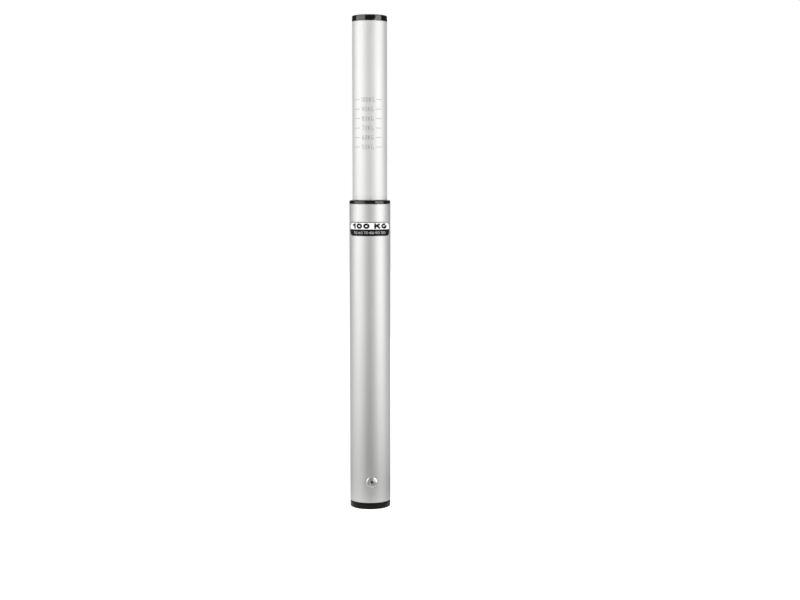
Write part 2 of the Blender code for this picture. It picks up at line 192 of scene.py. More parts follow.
# Each softbox's azimuth in degrees, lower and upper edges and width in metres, and radiance.
SOFTBOX_DISTANCE = 1.3
SOFTBOXES = {
    "softbox_left": (-61.8, 0.04, 1.2, 1.67, 2.9),
    "softbox_right": (60.1, -0.02, 1.08, 1.0, 3.9),
    "softbox_key": (36, 0.24, 0.44, 0.16, 9),
    "softbox_back": (180, 0.1, 1.1, 0.9, 1.5),
}

# What reflections see: a painted reflection on the floor, a pale pool of painted light round the foot and
# painted paler sides by distance, and a dim room.
PAINTED_POOL_MIDDLE = (-0.014, -0.004, 0)
PAINTED_POOL_STRETCH = (1, 1.2, 1)
PAINTED_POOL_REACH = {"start": 0.034, "end": 0.08}
PAINTED_POOL_LEVEL = 0.95
PAINTED_SIDE_REACH = {"start": 0.025, "end": 0.16}
PAINTED_SIDE_LEVELS = (0.01, 0.9)
ROOM_FRONT = (0.1, 0.1, 0.1)
ROOM_BACK = (0.08, 0.08, 0.08)
ROOM_TOP = (0.4, 0.4, 0.4)
ROOM_TOP_REACH = {"start": 0.35, "end": 0.95}


# Materials.


def material(name, colour, roughness, metallic=0.0):
    """A Principled material with its plain settings on the shader's own sockets."""
    made = bpy.data.materials.new(name)
    made.use_nodes = True
    shader = made.node_tree.nodes["Principled BSDF"]
    shader.inputs["Base Color"].default_value = (*colour, 1)
    shader.inputs["Roughness"].default_value = roughness
    shader.inputs["Metallic"].default_value = metallic
    return made


def add_node(tree, kind, **inputs):
    """A shader node with its named inputs set."""
    node = tree.nodes.new(kind)
    for name, value in inputs.items():
        node.inputs[name.replace("_", " ").title()].default_value = value
    return node


def noise(tree, scale, detail=3.0, stretch=(1, 1, 1)):
    """Noise in the object's own space, in cells of 1/scale metres before it is stretched."""
    place = tree.nodes.new("ShaderNodeTexCoord")
    mapping = tree.nodes.new("ShaderNodeMapping")
    mapping.inputs["Scale"].default_value = stretch
    texture = add_node(tree, "ShaderNodeTexNoise", scale=scale, detail=detail)
    tree.links.new(place.outputs["Object"], mapping.inputs["Vector"])
    tree.links.new(mapping.outputs["Vector"], texture.inputs["Vector"])
    return texture.outputs["Fac"]


def ranged(tree, value, low_value, high_value, start=0.3, end=0.7):
    """Maps start..end of a texture to a range."""
    node = tree.nodes.new("ShaderNodeMapRange")
    node.inputs["From Min"].default_value = start
    node.inputs["From Max"].default_value = end
    node.inputs["To Min"].default_value = low_value
    node.inputs["To Max"].default_value = high_value
    tree.links.new(value, node.inputs["Value"])
    return node.outputs["Result"]


def blended(tree, value, first, second):
    """A colour between two, by a texture."""
    node = tree.nodes.new("ShaderNodeMix")
    node.data_type = "RGBA"
    node.inputs["A"].default_value = (*first, 1)
    node.inputs["B"].default_value = (*second, 1)
    tree.links.new(value, node.inputs["Factor"])
    return node.outputs["Result"]


def bump(tree, height, distance, strength=1.0):
    node = add_node(tree, "ShaderNodeBump", strength=strength, distance=distance)
    tree.links.new(height, node.inputs["Height"])
    return node


def shader_input(tree, name):
    return tree.nodes["Principled BSDF"].inputs[name]


def anodised_aluminium(name, grey, roughness):
    """Satin silver anodising: drawn lines along the tube, a soft etched grain and faint uneven patches."""
    lighter = (grey + 0.02, grey + 0.02, grey + 0.012)
    darker = (grey - 0.015, grey - 0.015, grey - 0.02)
    made = material(name, lighter, roughness, 1.0)
    tree = made.node_tree
    fine_lines = noise(tree, 5200, detail=3, stretch=(1, 1, 0.004))
    broad_lines = noise(tree, 900, detail=3, stretch=(1, 1, 0.006))
    patches = noise(tree, 45, detail=4, stretch=(1, 1, 0.35))
    grains = noise(tree, 14000, detail=2)
    uneven = tree.nodes.new("ShaderNodeMath")
    uneven.operation = "ADD"
    tree.links.new(patches, uneven.inputs[0])
    tree.links.new(ranged(tree, broad_lines, -0.12, 0.12), uneven.inputs[1])
    colour = blended(tree, uneven.outputs["Value"], lighter, darker)
    tree.links.new(colour, shader_input(tree, "Base Color"))
    streaks = ranged(tree, fine_lines, roughness - 0.035, roughness + 0.035)
    tree.links.new(streaks, shader_input(tree, "Roughness"))
    first = bump(tree, fine_lines, 0.006 * MM)
    second = bump(tree, grains, 0.003 * MM)
    tree.links.new(first.outputs["Normal"], second.inputs["Normal"])
    tree.links.new(second.outputs["Normal"], shader_input(tree, "Normal"))
    return made


def black_plastic(name, roughness, specular):
    """Moulded black plastic with a semi-gloss skin and a very fine grain."""
    made = material(name, (0.005, 0.005, 0.0045), roughness)
    tree = made.node_tree
    shader_input(tree, "Specular IOR Level").default_value = specular
    grain = noise(tree, 5500, detail=3)
    waves = noise(tree, 160, detail=4)
    uneven = ranged(tree, waves, roughness - 0.03, roughness + 0.03)
    tree.links.new(uneven, shader_input(tree, "Roughness"))
    tree.links.new(
        blended(tree, waves, (0.004, 0.004, 0.0036), (0.006, 0.006, 0.0055)),
        shader_input(tree, "Base Color"),
    )
    tree.links.new(bump(tree, grain, 0.005 * MM).outputs["Normal"], shader_input(tree, "Normal"))
    return made


def rivet_aluminium():
    """Bright aluminium, with the faint rings that the setting tool leaves."""
    made = material("rivet_aluminium", (0.74, 0.74, 0.74), 0.38, 1.0)
    tree = made.node_tree
    scuffs = noise(tree, 700, detail=4)
    tree.links.new(ranged(tree, scuffs, 0.34, 0.42), shader_input(tree, "Roughness"))
    tree.links.new(bump(tree, scuffs, 0.01 * MM).outputs["Normal"], shader_input(tree, "Normal"))
    return made


def mandrel_steel():
    """Dark steel, torn rough where the pin snapped."""
    made = material("mandrel_steel", (0.12, 0.12, 0.125), 0.45, 1.0)
    tree = made.node_tree
    torn = noise(tree, 3500, detail=5)
    tree.links.new(
        blended(tree, torn, (0.05, 0.05, 0.055), (0.2, 0.2, 0.2)), shader_input(tree, "Base Color")
    )
    tree.links.new(bump(tree, torn, 0.08 * MM).outputs["Normal"], shader_input(tree, "Normal"))
    return made


def zinc_steel():
    """Bright zinc plate, with a faint crystal mottle."""
    made = material("zinc_steel", (0.62, 0.64, 0.66), 0.28, 1.0)
    tree = made.node_tree
    mottle = noise(tree, 900, detail=5)
    tree.links.new(
        blended(tree, mottle, (0.55, 0.57, 0.6), (0.68, 0.69, 0.7)),
        shader_input(tree, "Base Color"),
    )
    tree.links.new(ranged(tree, mottle, 0.22, 0.36), shader_input(tree, "Roughness"))
    return made


def spring_steel():
    """Oiled drawn wire, dark, with lighter scuffs."""
    made = material("spring_steel", (0.3, 0.29, 0.28), 0.3, 1.0)
    tree = made.node_tree
    scuffs = noise(tree, 500, detail=5)
    tree.links.new(
        blended(tree, scuffs, (0.2, 0.19, 0.18), (0.38, 0.37, 0.36)),
        shader_input(tree, "Base Color"),
    )
    tree.links.new(ranged(tree, scuffs, 0.22, 0.4), shader_input(tree, "Roughness"))
    return made


def vinyl(name, colour):
    """Printed film with a smooth satin laminate and a trace of orange peel."""
    made = material(name, colour, 0.36)
    tree = made.node_tree
    shader_input(tree, "Specular IOR Level").default_value = 0.12
    peel = noise(tree, 1200, detail=2)
    tree.links.new(ranged(tree, peel, 0.33, 0.4), shader_input(tree, "Roughness"))
    tree.links.new(bump(tree, peel, 0.002 * MM).outputs["Normal"], shader_input(tree, "Normal"))
    return made


def scale_ink():
    """Grey ink, a little thin in places."""
    made = material("scale_ink", (0.2, 0.2, 0.2), 0.5)
    tree = made.node_tree
    thin = noise(tree, 1500, detail=3)
    tree.links.new(
        blended(tree, thin, (0.13, 0.13, 0.13), (0.24, 0.24, 0.24)),
        shader_input(tree, "Base Color"),
    )
    return made


OUTER_ALUMINIUM = anodised_aluminium("outer_anodising", 0.6, 0.6)
INNER_ALUMINIUM = anodised_aluminium("inner_anodising", 0.72, 0.68)
CAP_PLASTIC = black_plastic("cap_plastic", 0.12, 0.65)
PLASTIC = black_plastic("bush_plastic", 0.14, 0.5)
FOOT_PLASTIC = black_plastic("foot_plastic", 0.24, 0.17)
RIVET = rivet_aluminium()
MANDREL = mandrel_steel()
ZINC = zinc_steel()
SPRING = spring_steel()
LABEL_WHITE = vinyl("label_white", (0.95, 0.95, 0.945))
LABEL_BLACK = vinyl("label_black", (0.004, 0.004, 0.004))
INK = scale_ink()


# Mesh building.


def filleted(corners, steps=6):
    """Points of a closed outline from (r, z, radius) corners, each rounded to its radius."""
    points = []
    for i, (r, z, radius) in enumerate(corners):
        corner = Vector((r, z))
        if not radius:
            points.append(corner)
            continue
        before = (Vector(corners[i - 1][:2]) - corner).normalized()
        after = (Vector(corners[(i + 1) % len(corners)][:2]) - corner).normalized()
        half = before.angle(after) / 2
        centre = corner + (before + after).normalized() * (radius / math.sin(half))
        reach = radius / math.tan(half)
        start, end = corner + before * reach - centre, corner + after * reach - centre
        for step in range(steps + 1):
            points.append(centre + start.slerp(end, step / steps) * radius)
    return points


def new_object(name, bm, finish):
    mesh = bpy.data.meshes.new(name)
    bm.to_mesh(mesh)
    bm.free()
    mesh.materials.append(finish)
    obj = bpy.data.objects.new(name, mesh)
    bpy.context.scene.collection.objects.link(obj)
    return obj


def turned(name, corners, finish, segments=160):
    """A closed outline turned round the Z axis. Where it touches the axis, its corner has no radius."""
    bm = bmesh.new()
    verts = [bm.verts.new((r, 0, z)) for r, z in filleted(corners)]
    pairs = list(zip(verts, verts[1:] + verts[:1]))
    edges = [bm.edges.new(pair) for pair in pairs if pair[0].co.x > 0 or pair[1].co.x > 0]
    turn = {"axis": (0, 0, 1), "cent": (0, 0, 0), "angle": 2 * math.pi, "steps": segments}
    bmesh.ops.spin(bm, geom=verts + edges, use_merge=True, **turn)
    bmesh.ops.remove_doubles(bm, verts=bm.verts, dist=SAME_POINT)
    bmesh.ops.dissolve_degenerate(bm, edges=bm.edges, dist=ON_PLANE)
    bmesh.ops.recalc_face_normals(bm, faces=bm.faces)
    obj = new_object(name, bm, finish)
    obj.data.shade_smooth()
    obj.data.set_sharp_from_angle(angle=SHARP_ANGLE)
    return obj


def cut(obj, *cutters):
    """Cuts shapes out of a piece for good, and removes them."""
    for shape in cutters:
        boolean = obj.modifiers.new("cut", "BOOLEAN")
        boolean.operation = "DIFFERENCE"
        boolean.solver = "EXACT"
        boolean.object = shape
    bpy.context.view_layer.update()
    graph = bpy.context.evaluated_depsgraph_get()
    mesh = bpy.data.meshes.new_from_object(obj.evaluated_get(graph))
    bm = bmesh.new()
    bm.from_mesh(mesh)
    bmesh.ops.remove_doubles(bm, verts=bm.verts, dist=WELD_DISTANCE)
    bm.to_mesh(mesh)
    bm.free()
    obj.modifiers.clear()
    obj.data = mesh
    for shape in cutters:
        bpy.data.objects.remove(shape)
    mesh.shade_smooth()
    mesh.set_sharp_from_angle(angle=SHARP_ANGLE)


def round_cutter(radius, length, place, rotation):
    bm = bmesh.new()
    bmesh.ops.create_cone(
        bm, cap_ends=True, segments=48, radius1=radius, radius2=radius, depth=length
    )
    return placed_cutter("round_cutter", bm, place, rotation)


def box_cutter(size, place, rotation=(0, 0, 0)):
    bm = bmesh.new()
    bmesh.ops.create_cube(bm, size=1)
    bmesh.ops.scale(bm, vec=size, verts=bm.verts)
    return placed_cutter("box_cutter", bm, place, rotation)


def placed_cutter(name, bm, place, rotation):
    obj = new_object(name, bm, PLASTIC)
    obj.location = place
    obj.rotation_euler = rotation
    return obj


def on_tube(angle, radius, height):
    """The point at an angle from the front on a cylinder round the gauge's axis."""
    return Vector((radius * math.sin(angle), -radius * math.cos(angle), height))


def facing(angle):
    """The rotation that turns a piece's own +Z outwards at an angle from the front."""
    return (math.pi / 2, 0, angle)


# Tubes and plugs.


def rivet_holes():
    length = OUTER_RADIUS - FOOT_CUP_RADIUS + 2 * RIVET_HOLE_OVERLAP
    middle = (OUTER_RADIUS + FOOT_CUP_RADIUS) / 2
    return [
        round_cutter(
            RIVET_SHANK_RADIUS + FIT_GAP,
            length,
            on_tube(angle, middle, RIVET_HEIGHT),
            facing(angle),
        )
        for angle in RIVET_ANGLES.values()
    ]


def tube(name, node, body, radius, finish):
    """A tube with deburred ends. It comes closer to the head or the collar over it than its node does."""
    bottom, top = low(node), high(node) + FIT_GAP
    corners = [
        (radius, top, TUBE_EDGE),
        (radius, bottom, TUBE_EDGE),
        (radius - WALL, bottom, TUBE_EDGE),
        (radius - WALL, top, TUBE_EDGE),
    ]
    obj = turned(name, corners, finish, segments=192)
    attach(obj, body)
    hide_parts(node)
    return obj


def make_outer_tube():
    obj = tube("outer_sleeve", "outer_tube", "housing", OUTER_RADIUS, OUTER_ALUMINIUM)
    cut(obj, *rivet_holes())


def make_inner_tube():
    obj = tube("inner_sleeve", "inner_tube", "plunger", INNER_RADIUS, INNER_ALUMINIUM)
    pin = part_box("piston_pin")
    height = (pin[0].z + pin[1].z) / 2
    cut(obj, round_cutter(PIN_HOLE_RADIUS, PIN_HOLE_CUT, (0, 0, height), (0, math.pi / 2, 0)))


def make_foot():
    """The foot plug: a rounded head with a shallow recess under it, and the cup inside the tube."""
    top = high("foot_plug")
    spigot = OUTER_RADIUS - WALL - FIT_GAP
    corners = [
        (0, FOOT_FLOOR, 0),
        (FOOT_CUP_RADIUS, FOOT_FLOOR, FOOT_CUP_ROUNDING),
        (FOOT_CUP_RADIUS, top, FOOT_RIM_EDGES[0]),
        (spigot, top, FOOT_RIM_EDGES[1]),
        (spigot, FOOT_HEAD, 0),
        (FOOT_RADIUS - FOOT_RELIEF, FOOT_HEAD, FOOT_RELIEF_EDGE),
        (FOOT_RADIUS - FOOT_RELIEF, FOOT_HEAD - FOOT_RELIEF, FOOT_RELIEF_EDGE),
        (FOOT_RADIUS, FOOT_HEAD - FOOT_RELIEF, SEAM_EDGE),
        (FOOT_RADIUS, 0, FOOT_ROUNDING),
        (FOOT_RECESS_RADIUS, 0, FOOT_RECESS_EDGE),
        (FOOT_RECESS_RADIUS, FOOT_RECESS_DEPTH, FOOT_RECESS_EDGE),
        (0, FOOT_RECESS_DEPTH, 0),
    ]
    obj = turned("foot", corners, FOOT_PLASTIC)
    cut(obj, *rivet_holes())
    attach(obj, "housing")
    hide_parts("foot_plug")


def make_top_cap():
    """The cap that the coupling presses on, with a ribbed hollow spigot in the inner tube."""
    grip = INNER_RADIUS - WALL - FIT_GAP
    neck = grip - RIB_DEPTH
    bottom = low("top_plug")
    corners = [
        (0, high("top_plug"), 0),
        (TOP_RADIUS, high("top_plug"), TOP_ROUNDING),
        (TOP_RADIUS, TOP_LOW, SEAM_EDGE),
        (neck, TOP_LOW, 0),
    ]
    for start in RIB_STARTS:
        rib = TOP_LOW - start
        corners += [
            (neck, rib, 0),
            (grip, rib - RIB_DEPTH, RIB_EDGE),
            (grip, rib - RIB_HEIGHT, RIB_EDGE),
            (neck, rib - RIB_HEIGHT, 0),
        ]
    corners += [
        (neck, bottom, SPIGOT_EDGE),
        (neck - PLUG_WALL, bottom, SPIGOT_EDGE),
        (neck - PLUG_WALL, TOP_LOW, TOP_FLOOR_ROUNDING),
        (0, TOP_LOW, 0),
    ]
    obj = turned("top_cap", corners, CAP_PLASTIC)
    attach(obj, "plunger")
    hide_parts("top_plug")


def make_collar():
    """The guide bush: a rounded black collar with its slanted split, and the thin sleeve in the tube."""
    bore = INNER_RADIUS + FIT_GAP
    sleeve = OUTER_RADIUS - WALL - FIT_GAP
    bottom = low("guide_bush")
    corners = [
        (bore, COLLAR_HIGH, COLLAR_MOUTH_ROUNDING),
        (COLLAR_RADIUS, COLLAR_HIGH, COLLAR_ROUNDING),
        (COLLAR_RADIUS, COLLAR_LOW, SEAM_EDGE),
        (sleeve, COLLAR_LOW, 0),
        (sleeve, bottom, SPIGOT_EDGE),
        (bore, bottom, SPIGOT_EDGE),
    ]
    obj = turned("collar", corners, PLASTIC)
    height = COLLAR_HIGH - COLLAR_LOW
    middle = (COLLAR_RADIUS + bore) / 2
    slot_angle = SPLIT_ANGLE - math.tan(SPLIT_LEAN) * height / 2 / middle
    length = COLLAR_LOW - bottom
    cut(
        obj,
        box_cutter(
            (SPLIT_WIDTH, SPLIT_CUT, 1.5 * height / math.cos(SPLIT_LEAN)),
            on_tube(SPLIT_ANGLE, middle, COLLAR_LOW + height / 2),
            (0, SPLIT_LEAN, SPLIT_ANGLE),
        ),
        box_cutter(
            (SPLIT_WIDTH, SPLIT_CUT, length + 2 * SPLIT_OVERLAP),
            on_tube(slot_angle, middle, COLLAR_LOW - length / 2),
            (0, 0, slot_angle),
        ),
    )
    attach(obj, "housing")
    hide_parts("guide_bush")


# Rivets.


def make_rivet(side, angle):
    """A set blind rivet with a domed head, the lip round its bore, and the snapped pin in the bore."""
    bore, blind = RIVET_BORE_RADIUS, -RIVET_GRIP
    step = (RIVET_DOME_RADIUS - RIVET_GROOVE_RADIUS) / RIVET_DOME_STEPS
    radii = [RIVET_GROOVE_RADIUS + step * i for i in range(RIVET_DOME_STEPS + 1)]
    ball_centre = RIVET_CROWN - RIVET_BALL
    dome = [(r, ball_centre + math.sqrt(RIVET_BALL**2 - r**2), 0) for r in radii]
    corners = [
        (bore, RIVET_CROWN - 0.2 * MM, 0.1 * MM),
        (RIVET_LIP_RADIUS, RIVET_CROWN - 0.12 * MM, 0.3 * MM),
        (RIVET_GROOVE_RADIUS - 0.15 * MM, dome[0][1] - 0.05 * MM, 0.1 * MM),
        *dome,
        (RIVET_HEAD_RADIUS - 0.25 * MM, 0.75 * MM, 0.4 * MM),
        (RIVET_HEAD_RADIUS, 0.25 * MM, 0.15 * MM),
        (RIVET_HEAD_RADIUS, 0, 0.1 * MM),
        (RIVET_SHANK_RADIUS, 0, 0),
        (RIVET_SHANK_RADIUS, blind, 0),
        (RIVET_SHANK_RADIUS + RIVET_BULB, blind - RIVET_BULB, 0.5 * MM),
        (RIVET_SHANK_RADIUS, blind - RIVET_TAIL, 0.4 * MM),
        (bore, blind - RIVET_TAIL, 0),
    ]
    place = Matrix.Translation(on_tube(angle, OUTER_RADIUS + FIT_GAP, RIVET_HEIGHT))
    turn = Matrix.Rotation(angle, 4, "Z") @ Matrix.Rotation(math.pi / 2, 4, "X")
    rivet = turned(side + "_rivet_body", corners, RIVET, segments=96)
    rivet.data.transform(place @ turn)
    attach(rivet, "housing")
    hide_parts(side + "_rivet")
    make_pin_stub(side, place @ turn)


def make_pin_stub(side, placed):
    """What is left of the rivet's steel pin: the snapped stub, and the head that pulled the bulb up."""
    stub = RIVET_BORE_RADIUS - MANDREL_CLEARANCE
    head = RIVET_SHANK_RADIUS - MANDREL_CLEARANCE
    shoulder = -RIVET_GRIP - RIVET_TAIL - MANDREL_GAP
    corners = [
        (0, MANDREL_TOP + 0.15 * MM, 0),
        (0.5 * MM, MANDREL_TOP + 0.1 * MM, 0.1 * MM),
        (stub, MANDREL_TOP - 0.3 * MM, 0.1 * MM),
        (stub, shoulder, 0),
        (head, shoulder, 0.2 * MM),
        (head, shoulder - 1 * MM, 0.4 * MM),
        (0.8 * MM, shoulder - MANDREL_HEAD, 0.5 * MM),
        (0, shoulder - MANDREL_HEAD, 0),
    ]
    obj = turned(side + "_pin_stub", corners, MANDREL, segments=48)
    obj.data.transform(placed)
    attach(obj, "housing")
    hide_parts(side + "_mandrel")


# Printing, wrapped round the tubes.


def arc(x, y, wide, tall, start, end, steps=14):
    """Points on an ellipse round (x, y), between two angles in degrees."""
    turns = [math.radians(start + (end - start) * i / steps) for i in range(steps + 1)]
    return [(x + wide * math.cos(turn), y + tall * math.sin(turn)) for turn in turns]


# Each character's width and pen strokes, in a box one unit high. A stroke that ends where it starts is
# closed.
STROKES = {
    "0": (0.6, [arc(0.3, 0.5, 0.3, 0.5, 90, 450, 28)]),
    "1": (0.3, [[(0, 0.74), (0.3, 1), (0.3, 0)]]),
    "5": (0.58, [[(0.54, 1), (0.1, 1), (0.05, 0.56)] + arc(0.27, 0.32, 0.31, 0.32, 125, -150)]),
    "6": (
        0.6,
        [
            arc(0.3, 0.31, 0.3, 0.31, 180, 540, 24),
            arc(0.52, 0.31, 0.52, 0.69, 180, 98),
        ],
    ),
    "7": (0.58, [[(0, 1), (0.58, 1), (0.2, 0)]]),
    "8": (
        0.6,
        [arc(0.3, 0.27, 0.3, 0.27, 90, 450, 24), arc(0.3, 0.77, 0.25, 0.23, 90, 450, 24)],
    ),
    "9": (
        0.6,
        [
            arc(0.3, 0.69, 0.3, 0.31, 0, 360, 24),
            arc(0.08, 0.69, 0.52, 0.69, 0, -82),
        ],
    ),
    "K": (0.6, [[(0, 0), (0, 1)], [(0.55, 1), (0.06, 0.42)], [(0.25, 0.58), (0.6, 0)]]),
    "G": (
        0.72,
        [
            arc(0.38, 0.5, 0.38, 0.5, 60, 328, 22) + [(0.7, 0.36)],
            [(0.7, 0.36), (0.5, 0.36)],
        ],
    ),
    " ": (0.05, []),
}


def ribbon(bm, points, stroke, lift):
    """A flat band along a line of (x, z) points, mitred at the bends. A straight-sided one reaches half a
    stroke past its ends. lift keeps crossing bands apart."""
    points = [Vector(point) for point in points]
    closed = (points[0] - points[-1]).length < SAME_POINT
    if closed:
        points.pop()
    elif len(points) <= STRAIGHT_POINTS:
        points[0] += (points[0] - points[1]).normalized() * stroke / 2
        points[-1] += (points[-1] - points[-2]).normalized() * stroke / 2
    count = len(points)
    rails = []
    for i, point in enumerate(points):
        before = point - points[i - 1] if closed or i else points[1] - points[0]
        after = points[(i + 1) % count] - point if closed or i + 1 < count else before
        before, after = before.normalized(), after.normalized()
        along = (before + after).normalized()
        reach = stroke / 2 / max(0.5, along.dot(before))
        side = Vector((-along.y, along.x)) * reach
        ends = point + side, point - side
        rails.append([bm.verts.new((end.x, lift, end.y)) for end in ends])
    if closed:
        rails.append(rails[0])
    for (a, b), (c, d) in zip(rails, rails[1:]):
        bm.faces.new((a, b, d, c))


def lettering(words, height, stroke, unit):
    """Pen-stroke characters in the X-Z plane, centred. unit is the width that 1 stands for in STROKES."""
    bm = bmesh.new()
    gap = LETTER_GAP * height + stroke
    wide = unit * sum(STROKES[word][0] for word in words) + gap * (len(words) - 1)
    x = -wide / 2
    for word in words:
        width, paths = STROKES[word]
        for i, path in enumerate(paths):
            points = [(x + u * unit, (v - 0.5) * (height - stroke)) for u, v in path]
            ribbon(bm, points, stroke, i * STROKE_LIFT)
        x += width * unit + gap
    for end in (-height / 2, height / 2):
        everything = bm.verts[:] + bm.edges[:] + bm.faces[:]
        across = {"plane_co": (0, 0, end), "plane_no": (0, 0, end)}
        bmesh.ops.bisect_plane(bm, geom=everything, dist=ON_PLANE, clear_outer=True, **across)
    return bm


def add_outline(bm, points):
    """A flat face in the X-Z plane from its (x, z) points."""
    bm.faces.new([bm.verts.new((x, 0, z)) for x, z in points])


def rectangle(left, right, bottom, top):
    return [(left, bottom), (right, bottom), (right, top), (left, top)]


def wrapped(name, bm, finish, radius, thickness, angle, step=0.5 * MM):
    """Rolls flat faces round a tube, in upright strips, and gives them a thickness outwards."""
    xs = [vert.co.x for vert in bm.verts]
    first, last = math.floor(min(xs) / step), math.ceil(max(xs) / step)
    for i in range(first, last + 1):
        everything = bm.verts[:] + bm.edges[:] + bm.faces[:]
        bmesh.ops.bisect_plane(
            bm, geom=everything, dist=ON_PLANE, plane_co=(i * step, 0, 0), plane_no=(1, 0, 0)
        )
    bmesh.ops.remove_doubles(bm, verts=bm.verts, dist=WELD_DISTANCE)
    for vert in bm.verts:
        vert.co = on_tube(vert.co.x / radius + angle, radius + vert.co.y, vert.co.z)
    for face in bm.faces:
        face.normal_update()
        middle = face.calc_center_median()
        if face.normal.dot(Vector((middle.x, middle.y, 0))) < 0:
            face.normal_flip()
    made = bmesh.ops.extrude_face_region(bm, geom=bm.faces[:])
    outer = [item for item in made["geom"] if isinstance(item, bmesh.types.BMVert)]
    for vert in outer:
        flat = Vector((vert.co.x, vert.co.y, 0))
        vert.co += flat.normalized() * thickness
    bmesh.ops.recalc_face_normals(bm, faces=bm.faces)
    obj = new_object(name, bm, finish)
    obj.data.shade_smooth()
    obj.data.set_sharp_from_angle(angle=SHARP_ANGLE)
    return obj


def make_scale():
    """A tick on both sides of each load's numerals, printed on the inner tube."""
    radius = INNER_RADIUS + INK_LIFT
    for i, load in enumerate(SCALE_LOADS):
        height = COLLAR_HIGH + SCALE_FIRST + i * SCALE_PITCH
        bm = lettering(f"{load}KG", NUMERAL_HEIGHT, NUMERAL_STROKE, NUMERAL_WIDTH)
        for side in (-1, 1):
            ends = sorted((side * TICK_START * INNER_RADIUS, side * TICK_END * INNER_RADIUS))
            add_outline(bm, rectangle(*ends, -TICK_THICKNESS / 2, TICK_THICKNESS / 2))
        bmesh.ops.translate(bm, vec=(0, 0, height), verts=bm.verts)
        mark = wrapped(f"scale_mark_{load}", bm, INK, radius, INK_THICKNESS, SCALE_ANGLE)
        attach(mark, "plunger")


def label_outline(inset, bottom, top, round_low=True, round_high=True):
    """(x, z) points of the label or of a band of it, with round corners at its low and high ends."""
    half = LABEL_WIDTH / 2 - inset
    corner = LABEL_CORNER - inset
    low_round, high_round = corner * round_low, corner * round_high
    corners = [
        (half, bottom, low_round),
        (half, top, high_round),
        (-half, top, high_round),
        (-half, bottom, low_round),
    ]
    return [tuple(point) for point in filleted(corners, steps=8)]


def label_piece(name, bm, finish, layer, thickness=LABEL_INK):
    """One printed layer of the label. Each layer lies a little further out."""
    radius = OUTER_RADIUS + LABEL_LIFT + layer
    obj = wrapped(name, bm, finish, radius, thickness, LABEL_ANGLE)
    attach(obj, "housing")
    return obj


def make_label():
    """A film label: the highest load in bold on white, and the scale's loads in small white numerals."""
    split = LABEL_LOW + LABEL_SPLIT * (LABEL_HIGH - LABEL_LOW)
    base = bmesh.new()
    add_outline(base, label_outline(0, LABEL_LOW, LABEL_HIGH))
    film = label_piece("label_film", base, LABEL_BLACK, 0, LABEL_FILM)
    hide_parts("label")
    white = bmesh.new()
    top = LABEL_HIGH - LABEL_BORDER
    add_outline(white, label_outline(LABEL_BORDER, split, top, round_low=False))
    first_layer = LABEL_FILM + INK_LIFT
    label_piece("label_white_band", white, LABEL_WHITE, first_layer)
    words = lettering("100 KG", *LIMIT_SIZES)
    bmesh.ops.translate(words, vec=(0, 0, (split + top) / 2), verts=words.verts)
    label_piece("label_limit", words, LABEL_BLACK, first_layer + LABEL_INK + INK_LIFT)
    loads = lettering(" ".join(map(str, SCALE_LOADS)), *LOADS_SIZES)
    bmesh.ops.translate(loads, vec=(0, 0, (LABEL_LOW + split) / 2), verts=loads.verts)
    label_piece("label_loads", loads, LABEL_WHITE, first_layer)


# Inside.


def coil_heights(length):
    """Heights of the wire's middle above the spring's foot. The turns at both ends lie close, and the pitch
    eases from theirs to the working one."""
    close_turns = 2 + PITCH_BLEND_TURNS
    rise = length + SPRING_WIRE / 2
    pitch = (rise - close_turns * CLOSED_PITCH) / (SPRING_TURNS - close_turns)
    heights = [-SPRING_WIRE / 4]
    for step in range(SPRING_TURNS * POINTS_PER_TURN):
        turn = (step + 0.5) / POINTS_PER_TURN
        from_end = min(turn, SPRING_TURNS - turn)
        share = min(1, max(0, (from_end - 1) / PITCH_BLEND_TURNS))
        eased = share * share * (3 - 2 * share)
        heights.append(heights[-1] + (CLOSED_PITCH + (pitch - CLOSED_PITCH) * eased) / POINTS_PER_TURN)
    return heights


def make_spring():
    """The closed and ground compression spring, with a round wire."""
    node = "spring"
    bottom, top = low(node), high(node)
    length = top - bottom
    curve = bpy.data.curves.new("coil", "CURVE")
    curve.dimensions = "3D"
    curve.bevel_depth = SPRING_WIRE / 2
    curve.bevel_resolution = 6
    curve.use_fill_caps = True
    heights = coil_heights(length)
    spline = curve.splines.new("POLY")
    spline.points.add(len(heights) - 1)
    for i, (point, height) in enumerate(zip(spline.points, heights)):
        turn = 2 * math.pi * i / POINTS_PER_TURN
        x, y = SPRING_RADIUS * math.cos(turn), SPRING_RADIUS * math.sin(turn)
        point.co = (x, y, bottom + height, 1)
    source = bpy.data.objects.new("coil_wire", curve)
    bpy.context.scene.collection.objects.link(source)
    bpy.context.view_layer.update()
    graph = bpy.context.evaluated_depsgraph_get()
    mesh = bpy.data.meshes.new_from_object(source.evaluated_get(graph))
    bpy.data.objects.remove(source)
    bm = bmesh.new()
    bm.from_mesh(mesh)
    bmesh.ops.remove_doubles(bm, verts=bm.verts, dist=WELD_DISTANCE)
    coil = new_object("coil", bm, SPRING)
    slab = 10 * MM
    size = (6 * slab, 6 * slab, slab)
    cut(
        coil,
        box_cutter(size, (0, 0, bottom - slab / 2)),
        box_cutter(size, (0, 0, top + slab / 2)),
    )
    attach(coil, "housing")
    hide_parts(node)
    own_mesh(coil)


def dress_nodes():
    """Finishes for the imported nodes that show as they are."""
    finishes = {
        "lower_washer": ZINC,
        "upper_washer": ZINC,
        "piston_pin": ZINC,
        "piston_plug": PLASTIC,
    }
    for name, finish in finishes.items():
        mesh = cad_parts[name].data
        mesh.materials.clear()
        mesh.materials.append(finish)


# Floor, lights and camera.


